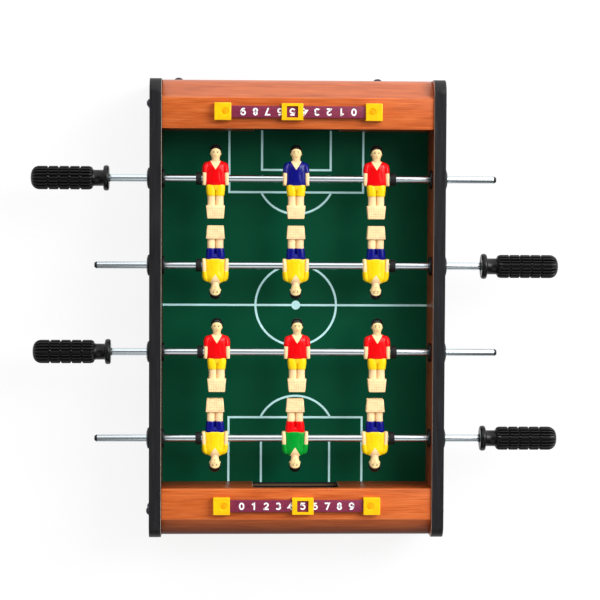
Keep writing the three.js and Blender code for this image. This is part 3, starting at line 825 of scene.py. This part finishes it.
def counter_digits(end):
    """The digits 0 to 9 as a raised skin of paint on the bar, read from the end's own side."""
    low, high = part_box(f"counter_bar_{end}")
    bm = bmesh.new()
    for digit, strokes in NUMERALS.items():
        for line, closed in strokes:
            points = [((x + (digit - 4.5) * DIGIT_PITCH) * MM, y * MM) for x, y in line]
            ribbon(bm, points, DIGIT_STROKE, -DIGIT_RAISED, DIGIT_RAISED, closed)
    digits = object_from(f"counter_digits_{end}", bm, [LINES_BRIGHT])
    put(digits, (0, (low.y + high.y) / 2, high.z), -WAY[end])
    settle(digits, "frame", "purple_plastic")


def counter_block(end, label):
    """An end block with rounded edges and a pip sunk in its face, nearer the bar."""
    node = f"counter_block_{end}_{label}"
    bm = bar_shape(node)
    soften(bm, 0.6 * MM, 4)
    block = object_from(node + "_cap", bm, [YELLOW])
    place = middle(node)
    place.x -= math.copysign(DIMPLE_OFFSET, place.x)
    place.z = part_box(node)[1].z
    wide = DIMPLE_RADIUS
    well = turned("well", [(-DIMPLE_DEPTH, 0), (-DIMPLE_DEPTH, wide * 0.85), (0, wide),
                           (3 * MM, wide), (3 * MM, 0)], YELLOW, 32)
    pip = turned(node + "_pip", [(-DIMPLE_DEPTH, 0), (-DIMPLE_DEPTH, wide * 0.72), (-0.3 * MM, wide * 0.6),
                                 (-0.22 * MM, wide * 0.35), (-0.2 * MM, 0)], ORANGE, 32)
    for piece in (well, pip):
        piece.rotation_euler.y = -math.pi / 2
        piece.location = place
    settle(carve(block, well), "frame", "yellow_plastic", node)
    settle(pip, "frame", "yellow_plastic")


def counter_slider(end):
    """The yellow frame that rides on the bar, with a square window over one digit."""
    node = f"counter_slider_{end}"
    x, y, _ = middle(node)
    bar_low, bar_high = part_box(f"counter_bar_{end}")
    bm = bar_shape(node)
    soften(bm, 0.4 * MM, 3)
    slider = object_from(node + "_frame", bm, [YELLOW])
    bar_half = (bar_high.y - bar_low.y) / 2 + SLIDER_GAP
    tools = []
    for x_half, y_half, top in ((12 * MM, bar_half, bar_high.z + SLIDER_GAP), (WINDOW_HALF, WINDOW_HALF, 1)):
        outline = rectangle(x - x_half, y - y_half, x + x_half, y + y_half)
        tools.append(object_from("tool", prism(outline, 0, top, "Z"), [YELLOW]))
    settle(carve(slider, *tools), node, "yellow_plastic", node)


# ---------------------------------------------------------------- rods and fittings
BUSHING_BORE = 3.0 * MM
BUSHING_BODY = 5 * MM
BORE_CHAMFER = 0.5 * MM
FLANGE_CHAMFER = 0.9 * MM
INNER_FLANGE = 0.89
RING_BORE = 2.85 * MM
TUBE_WALL = 0.6 * MM


def bushing(rod, side):
    node = f"bushing_{rod}_{side}"
    place, way = middle(node), WAY[side]
    inner_face, outer_face = reach(f"side_panel_{side}", 0, way)
    root, tip = reach(node, 0, way)
    flange = span(node).z / 2
    inner = flange * INNER_FLANGE
    mouth = BUSHING_BORE + BORE_CHAMFER
    profile = [(tip, mouth), (tip, flange * 0.62), (tip - FLANGE_CHAMFER, flange), (outer_face, flange),
               (outer_face, BUSHING_BODY), (inner_face, BUSHING_BODY), (inner_face, inner), (root, inner),
               (root, mouth)]
    profile = rounded_profile(profile, 0.5 * MM)
    profile += [(root + BORE_CHAMFER, BUSHING_BORE), (tip - BORE_CHAMFER, BUSHING_BORE)]
    piece = turned(node + "_flanged", profile, NYLON, 64)
    put(piece, (0, place.y, place.z), way)
    settle(piece, "frame", "black_nylon", node)


def sleeve(node, ending, bore, soft, steps, material, segments, body, slot):
    """A plain round sleeve with softened rims, as long and as thick as its node."""
    size = span(node)
    half, radius = size.x / 2, size.z / 2
    profile = rounded_profile([(-half, bore), (-half, radius), (half, radius), (half, bore)], soft, steps)
    piece = turned(node + ending, profile, material, segments)
    put(piece, middle(node))
    settle(piece, body, slot, node)


def stop_ring(rod, side):
    sleeve(f"{rod}_stop_{side}", "_ring", RING_BORE, 0.4 * MM, 4, RUBBER, 48, f"{rod}_stops", "black_rubber")


def tube(rod):
    node = f"{rod}_tube"
    bore = span(node).z / 2 - TUBE_WALL
    sleeve(node, "_steel", bore, 0.2 * MM, 2, CHROME, 64, f"{rod}_rod", "chrome_tube")


def end_plug(rod):
    """The black plug, a short stem in the tube and a conical head."""
    node = f"{rod}_end_plug"
    place = middle(node)
    way = 1 if place.x > 0 else -1
    root, tip = reach(node, 0, way)
    seat = reach(f"{rod}_tube", 0, way)[1] + 0.05 * MM
    radius = span(node).z / 2
    stem = radius - 0.75 * MM
    profile = [(root, 0), (root, stem), (seat, stem), (seat, radius), (tip, radius * 0.62), (tip, 0)]
    piece = turned(node + "_cap", rounded_profile(profile, 0.3 * MM), NYLON, 48)
    put(piece, (0, place.y, place.z), way)
    settle(piece, f"{rod}_rod", "black_nylon", node)


# The grip: sizes along it are measured from its flange face outwards.
GRIP_RADIUS = 8.75 * MM
GRIP_START = 12.1 * MM
GRIP_FLUTES = 20
FLUTE_DEPTH = 1.9 * MM
RIDGE_SHARE = 0.6
GROOVE_FIRST = 13 * MM
GROOVE_PITCH = 7.9 * MM
GROOVE_DEPTH = 1.35 * MM
GROOVE_COUNT = 4
GROOVE_SLOPE = 1.7
NECK_RADIUS = 6.0 * MM
DISC_RADIUS = 9.5 * MM
DISC_WIDTH = 4.1 * MM
DOME_LENGTH = 6.4 * MM
DISC_ROUND = 1.6 * MM
SHOULDER = 3.2 * MM
SHOULDER_FOOT = NECK_RADIUS + 0.6 * MM
GRIP_TIP = 0.4 * MM
GRIP_BORE = 2.9 * MM
BORE_SHARE = 0.8
GRIP_TURN = {"rod1": 1, "rod2": 9, "rod3": -1, "rod4": 7}


def grip_outline(length):
    """The grip as (x, radius, flute depth) rows, from the flange face at x = 0 to its tip at -length."""
    rows = []
    for step in range(13):
        across, round_rim = spoke(1, math.pi * step / 12)
        x = DISC_WIDTH / 2 * (across - 1)
        rows.append((x, DISC_RADIUS - DISC_ROUND + DISC_ROUND * max(0.0, round_rim) ** 0.7, 0))
    rows += [(-DISC_WIDTH, SHOULDER_FOOT, 0), (-DISC_WIDTH - 0.6 * MM, NECK_RADIUS, 0),
             (-GRIP_START + 1.0 * MM, NECK_RADIUS, 0)]
    for step in range(9):
        angle = math.pi / 2 * step / 8
        rows.append((-GRIP_START - SHOULDER * (1 - math.cos(angle)),
                     SHOULDER_FOOT + (GRIP_RADIUS - SHOULDER_FOOT) * math.sin(angle), step / 8))
    grooves = [-length + GROOVE_FIRST + index * GROOVE_PITCH for index in range(GROOVE_COUNT)]
    start, end = -GRIP_START - SHOULDER, -length + DOME_LENGTH
    samples = 150
    for step in range(1, samples):
        x = start + (end - start) * step / samples
        nearest = min(abs(x - groove) for groove in grooves)
        dip = max(0.0, GROOVE_DEPTH - nearest * GROOVE_SLOPE)
        rows.append((x, GRIP_RADIUS - dip, 1 - dip / GROOVE_DEPTH))
    for step in range(14):
        angle = math.pi / 2 * step / 14
        radius = GRIP_RADIUS * math.cos(angle) ** 0.75
        rows.append((end - DOME_LENGTH * math.sin(angle), radius, max(0.0, 1 - (step / 9) ** 2)))
    return rows


def flute(angle):
    """0 on a ridge's crown and 1 in the valley between two ridges."""
    phase = (angle * GRIP_FLUTES / (2 * math.pi)) % 1.0
    from_crown = abs(phase - round(phase)) * 2
    share = from_crown / RIDGE_SHARE
    return 1.0 if share >= 1 else 1 - math.sqrt(1 - share ** 2.6)


def grip_mesh(name, length):
    """The grip over a blind bore: the bore's mouth, the outside to the tip, and the bore's floor last."""
    rows = [(-1 * MM, GRIP_BORE, 0), (-0.4 * MM, GRIP_BORE + 0.3 * MM, 0), (0, GRIP_BORE + 0.8 * MM, 0)]
    rows += [(x, max(radius, GRIP_TIP), depth) for x, radius, depth in grip_outline(length)]
    rows.append((-length * BORE_SHARE, GRIP_BORE, 0))
    segments = GRIP_FLUTES * 12
    vertices = []
    for x, radius, depth in rows:
        for step in range(segments):
            angle = 2 * math.pi * step / segments
            vertices.append((x, *spoke(radius - FLUTE_DEPTH * depth * flute(angle), angle)))
    *outside, floor = [range(start, start + segments) for start in range(0, len(vertices), segments)]
    faces = [face for pair in zip(outside, outside[1:]) for face in bridge(*pair)]
    faces += bridge(floor, outside[0]) + [tuple(outside[-1]), tuple(floor)]
    return mesh_from(name, vertices, faces, [GRIP], sharp=50)


def handle(rod):
    node = f"{rod}_handle"
    place = middle(node)
    way = 1 if place.x > 0 else -1
    name = node + "_grip"
    piece = link_object(name, grip_mesh(name, span(node).x))
    put(piece, (way * reach(node, 0, way)[0], place.y, place.z), -way)
    piece.rotation_euler.x = math.radians(GRIP_TURN[rod])
    settle(piece, f"{rod}_rod", "black_grip", node)


# ---------------------------------------------------------------- toy players
# A player's own axes: +X across, +Y towards the head, +Z out of the chest, the rod along X through 0, in mm.
# A form's rows: y, half width, half depth and squareness, then its centre's z and x where they aren't 0.
SKIN, HAIR, SHIRT, SHORTS, INK, LIP, FACE = range(7)
TORSO = [
    (-4.9, 7.2, 3.5, 3.0), (-4.5, 7.4, 3.9, 3.2), (-3.2, 7.5, 4.1, 3.5), (0.0, 7.5, 4.2, 3.5),
    (4.0, 7.5, 4.25, 3.4), (7.5, 7.5, 4.25, 2.8, 0.1), (10.0, 7.6, 3.9, 2.6, 0.1), (11.8, 6.6, 3.4, 2.4),
    (13.0, 4.6, 2.9, 2.2), (13.7, 2.9, 2.4, 2.0)]
CHEST = [
    (-5.0, 6.9, 3.9, 2.8), (-4.6, 7.0, 4.2, 2.8), (-2.8, 6.5, 4.5, 2.7), (0.0, 5.9, 4.6, 2.6, 0.05),
    (2.6, 5.4, 4.65, 2.5, 0.1), (5.0, 5.4, 4.65, 2.5, 0.15), (7.6, 6.1, 4.6, 2.6, 0.2),
    (9.8, 6.3, 4.3, 2.6, 0.15), (11.6, 5.4, 3.7, 2.4, 0.05), (12.9, 3.6, 3.0, 2.2)]
NECK = [
    (10.5, 3.4, 2.9, 2.0), (12.5, 3.3, 3.2, 2.0, 0.2), (14.0, 3.0, 3.4, 2.0, 0.3),
    (16.0, 2.9, 3.4, 2.0, 0.3)]
HEAD = [
    (13.3, 0.9, 1.2, 2.0, 1.0), (13.7, 1.9, 2.3, 2.1, 0.9), (14.6, 2.6, 3.2, 2.3, 0.6),
    (16.2, 3.2, 4.0, 2.4, 0.3), (18.0, 3.8, 4.5, 2.4, 0.1), (19.7, 4.05, 4.55, 2.4),
    (21.4, 4.05, 4.45, 2.1), (22.9, 3.5, 3.9, 2.0, -0.1), (24.0, 2.45, 2.8, 2.0, -0.1),
    (24.6, 1.1, 1.3, 2.0, -0.1)]
SLEEVE = [
    (12.4, 0.9, 1.4, 2.0, 0, 5.2), (11.8, 1.9, 2.3, 2.0, 0, 6.0), (10.4, 2.45, 3.1, 2.1, 0, 6.8),
    (8.4, 2.35, 3.6, 2.2, 0, 7.4), (6.3, 2.2, 3.9, 2.2, 0, 7.75), (4.8, 2.1, 4.05, 2.2, 0, 7.85),
    (4.4, 1.9, 3.85, 2.2, 0, 7.87)]
ARM = [
    (5.6, 1.6, 3.5, 2.4, 0, 8.0), (3.0, 1.68, 3.85, 3.0, 0, 8.2), (0.0, 1.65, 3.95, 3.2, 0, 8.3),
    (-2.4, 1.55, 3.85, 3.0, 0, 8.35), (-4.0, 1.5, 3.6, 2.6, 0, 8.45), (-4.8, 1.45, 3.3, 2.5, 0, 8.45),
    (-5.1, 1.1, 2.8, 2.3, 0, 8.4)]
HIPS = [
    (-3.8, 6.7, 3.7, 2.8), (-5.4, 7.1, 3.9, 2.8), (-6.8, 6.9, 3.6, 2.7), (-8.6, 6.2, 2.9, 2.5)]
SHORT_LEG = [
    (-4.6, 3.5, 3.8, 2.5, 0, 3.5), (-6.0, 3.6, 4.05, 2.5, 0, 3.55), (-8.2, 3.55, 4.1, 2.5, 0, 3.5),
    (-10.5, 3.45, 4.05, 2.5, 0, 3.35), (-12.5, 3.32, 3.95, 2.5, 0, 3.22), (-12.9, 3.15, 3.75, 2.5, 0, 3.2)]
LEG = [
    (-12.0, 2.95, 3.2, 2.3, 0, 3.05), (-14.0, 2.97, 3.15, 2.3, 0.1, 3.03),
    (-15.5, 2.92, 3.0, 2.3, 0.2, 3.0), (-17.5, 3.02, 3.1, 2.3, -0.1, 3.0), (-19.6, 2.95, 2.9, 2.4, 0, 3.0),
    (-20.6, 3.0, 3.0, 2.4, 0, 3.0)]


def between(rows, y):
    """The row at height y, by a smooth curve through the given rows."""
    rows = sorted(row + (0,) * (6 - len(row)) for row in rows)
    y = min(max(y, rows[0][0]), rows[-1][0])
    index = max(i for i in range(len(rows) - 1) if rows[i][0] <= y or i == 0)
    a, b = rows[max(index - 1, 0)], rows[index]
    c, d = rows[index + 1], rows[min(index + 2, len(rows) - 1)]
    width = c[0] - b[0]
    t = (y - b[0]) / width
    result = [y]
    for k in range(1, 6):
        slope_b = (c[k] - a[k]) / (c[0] - a[0]) * width
        slope_c = (d[k] - b[k]) / (d[0] - b[0]) * width
        result.append((2 * t ** 3 - 3 * t * t + 1) * b[k] + (t ** 3 - 2 * t * t + t) * slope_b
                      + (3 * t * t - 2 * t ** 3) * c[k] + (t ** 3 - t * t) * slope_c)
    return result


def ring_point(row, angle, swell=0.0):
    """A point on a row's rounded-square ring, angle 0 at +X and 90 degrees at +Z."""
    y, rx, rz, power, cz, cx = row
    c, s = math.cos(angle), math.sin(angle)
    x = cx + (rx + swell) * math.copysign(abs(c) ** (2 / power), c)
    z = cz + (rz + swell) * math.copysign(abs(s) ** (2 / power), s)
    return Vector((x, y, z))


def front_of(rows, x, y):
    """How far a lofted form's front stands out at a point."""
    _, wide, deep, power, center, _ = between(rows, y)
    return center + deep * (1 - min(1, abs(x) / wide) ** power) ** (1 / power)


class Figure:
    """Collects the shells of one player, each with one material, in millimetres."""

    def __init__(self):
        self.vertices, self.faces, self.materials = [], [], []

    def shell(self, rings, material):
        start, count = len(self.vertices), len(rings[0])
        self.vertices += [tuple(point) for ring in rings for point in ring]
        faces = capped([range(first, first + count) for first in range(start, len(self.vertices), count)])
        self.faces += faces
        self.materials += [material] * len(faces)

    def loft(self, rows, material, steps, sides, mirror=False):
        low, high = min(rows)[0], max(rows)[0]
        for side in ((1, -1) if mirror else (1,)):
            rings = []
            for step in range(steps + 1):
                row = between(rows, low + (high - low) * step / steps)
                row[5] *= side
                rings.append([ring_point(row, 2 * math.pi * k / sides) for k in range(sides)])
            self.shell(rings, material)

    def bead(self, center, radii, material, sides=12, steps=8):
        """A small ellipsoid, sunk in the surface, for a nose, an ear or a painted mark."""
        rings = []
        for step in range(1, steps):
            height, size = spoke(1, math.pi * step / steps)
            points = [spoke(size, 2 * math.pi * k / sides) for k in range(sides)]
            rings.append([(center[0] + radii[0] * across, center[1] + radii[1] * height,
                           center[2] + radii[2] * out) for across, out in points])
        self.shell(rings, material)


def hairline(angle):
    """Where the hair starts, by angle round the head from the forehead (0) to the nape (pi)."""
    knots = [(0.0, 22.2), (0.35, 22.1), (0.75, 21.4), (1.1, 20.0), (1.35, 18.9), (1.75, 18.0), (2.2, 16.6),
             (math.pi, 15.2)]
    for (a, low), (b, high) in zip(knots, knots[1:]):
        if angle <= b:
            t = (angle - a) / (b - a)
            return low + (high - low) * (t * t * (3 - 2 * t))
    return knots[-1][1]


def add_hair(figure):
    """A closed cap over the head, its lower edge on the hairline."""
    sides, steps = 40, 12
    top = max(HEAD)[0]
    rings = []
    for step in range(steps + 1):
        t = step / steps
        ring = []
        for k in range(sides):
            angle = 2 * math.pi * k / sides
            from_front = abs((angle - math.pi / 2 + math.pi) % (2 * math.pi) - math.pi)
            low = hairline(from_front)
            y = low + (top - low) * math.sin(t * math.pi / 2)
            swell = -0.15 if step == 0 else 0.38 + 0.07 * math.sin(7 * angle + 9 * t)
            point = ring_point(between(HEAD, y), angle, swell)
            point.y += 0.7 * t
            ring.append(point)
        rings.append(ring)
    figure.shell(rings, HAIR)


def add_collar(figure):
    """The bare V of the neckline, thin skin-coloured strips side by side on the chest."""
    top, tip, widest = 13.3, 6.7, 4.1
    lift, depth = 0.13, -0.6
    columns, rows = 10, 18
    width = columns + 1
    lines = []
    for row in range(rows + 1):
        y = tip + (top - tip) * row / rows
        half = widest * max(0.02, row / rows) ** 0.9
        xs = [half * (2 * column / columns - 1) for column in range(width)]
        lines.append([(x, y, max(front_of(TORSO, x, y), front_of(CHEST, x, y))) for x in xs])
    for pair in zip(lines, lines[1:]):
        start = len(figure.vertices)
        figure.vertices += [(x, y, z + rise) for rise in (lift, depth) for line in pair for x, y, z in line]
        for a in range(start, start + columns):
            b = a + 2 * width
            figure.faces += [(a, a + 1, a + width + 1, a + width), (b, b + width, b + width + 1, b + 1)]
        for a in (start, start + columns):
            figure.faces.append((a, a + width, a + 3 * width, a + 2 * width))
        figure.materials += [SKIN] * (2 * columns + 2)


def add_foot(figure):
    """The striking block: a tapered, rounded box with a waffle of shallow raised pads on both faces."""
    top, bottom = -19.9, -29.4
    top_half, bottom_half, depth, soft, corner = 7.0, 6.2, 4.35, 0.28, 0.45
    rings = []
    for y, inset in ((bottom, soft), (bottom + soft * 0.3, soft * 0.3), (bottom + soft, 0), (top - soft, 0),
                     (top - soft * 0.3, soft * 0.3), (top, soft)):
        half = top_half + (bottom_half - top_half) * (top - y) / (top - bottom)
        x, z = half - inset - corner, depth - inset - corner
        centers = ((x, z), (-x, z), (-x, -z), (x, -z))
        rings.append([(u, y, v) for quarter, center in enumerate(centers)
                      for u, v in arc(center, corner, 90 * quarter, 90 * quarter + 90, 4)])
    figure.shell(rings, SKIN)
    pad, pitch = 0.66, 1.72
    for face in (1, -1):
        levels = ((pad + 0.08, depth - 0.05), (pad, depth + 0.08), (pad - 0.1, depth + 0.12))
        for row in range(5):
            for column in range(7):
                x, y = (column - 3) * pitch, top - 1.3 - (row + 0.45) * pitch * 1.03
                rings = []
                for size, level in levels:
                    square = rectangle(x - size, y - size, x + size, y + size)
                    rings.append([(u, v, face * level) for u, v in square])
                figure.shell(rings, SKIN)


def add_face(figure):
    """A plain toy face: dots for eyes, short brows, a small nose and mouth."""
    def mark(x, y, sunk, radii, material):
        figure.bead((x, y, front_of(HEAD, x, y) - sunk), radii, material)

    for side in (-1, 1):
        mark(side * 1.35, 19.2, 0.06, (0.56, 0.42, 0.18), INK)
        for x, y in ((0.85, 20.15), (1.35, 20.29), (1.85, 20.15)):
            mark(side * x, y, 0.04, (0.4, 0.17, 0.13), HAIR)
        figure.bead((side * 3.9, 18.6, -0.6), (0.4, 1.1, 0.85), FACE)
    mark(0, 18.2, 0.1, (0.5, 1.15, 0.45), FACE)
    mark(0, 17.5, -0.05, (0.72, 0.5, 0.55), FACE)
    mark(0, 16.0, 0.06, (0.95, 0.22, 0.16), LIP)


def build_figure(name, shirt, shorts):
    figure = Figure()
    figure.loft(TORSO, SHIRT, 40, 40)
    figure.loft(CHEST, SHIRT, 36, 40)
    figure.loft(NECK, SKIN, 10, 28)
    # The head, ears and nose take the lighter face paint: painted light.
    figure.loft(HEAD, FACE, 32, 36)
    figure.loft(SLEEVE, SHIRT, 18, 24, mirror=True)
    figure.loft(ARM, SKIN, 20, 20, mirror=True)
    figure.loft(HIPS, SHORTS, 14, 36)
    figure.loft(SHORT_LEG, SHORTS, 14, 28, mirror=True)
    figure.loft(LEG, SKIN, 18, 24, mirror=True)
    add_hair(figure)
    add_collar(figure)
    add_foot(figure)
    add_face(figure)
    paints = [SKIN_PAINT, HAIR_PAINT, shirt, shorts, INK_PAINT, LIP_PAINT, FACE_PAINT_LIT]
    vertices = [tuple(c * MM for c in vertex) for vertex in figure.vertices]
    return mesh_from(name, vertices, figure.faces, paints, figure.materials, sharp=42)


KITS = {"red": (RED, YELLOW_PAINT), "navy": (NAVY, YELLOW_PAINT),
        "yellow": (YELLOW_PAINT, NAVY), "green": (GREEN, RED)}


def players():
    kits = {color: build_figure(f"kit_{color}", *paints) for color, paints in KITS.items()}
    for entry in frame["record"]["subparts"]:
        node, slot = entry["node"], entry["material_slot"]
        if "_man_" not in node:
            continue
        rod = node.split("_")[0]
        place, axis = middle(node), middle(f"{rod}_tube")
        figure = link_object(node + "_figure", kits[slot.replace("_jersey", "")])
        # The feet reach further from the rod than the head, so the box's middle lies on their side.
        put(figure, (place.x, axis.y, axis.z), 1 if place.y < axis.y else -1)
        settle(figure, f"{rod}_rod", slot, node)


# ---------------------------------------------------------------- everything
make_camera()
make_studio()
for side_name in SIDES:
    side_panel(side_name)
side_screws()
end_screws()
playfield()
field_lines()
for end_name in ENDS:
    goal_wall(end_name)
    end_board(end_name)
    counter_bar(end_name)
    counter_digits(end_name)
    counter_slider(end_name)
    for block_name in ("zero", "nine"):
        counter_block(end_name, block_name)
for rod_name in RODS:
    tube(rod_name)
    handle(rod_name)
    end_plug(rod_name)
    for side_name in SIDES:
        bushing(rod_name, side_name)
        stop_ring(rod_name, side_name)
players()
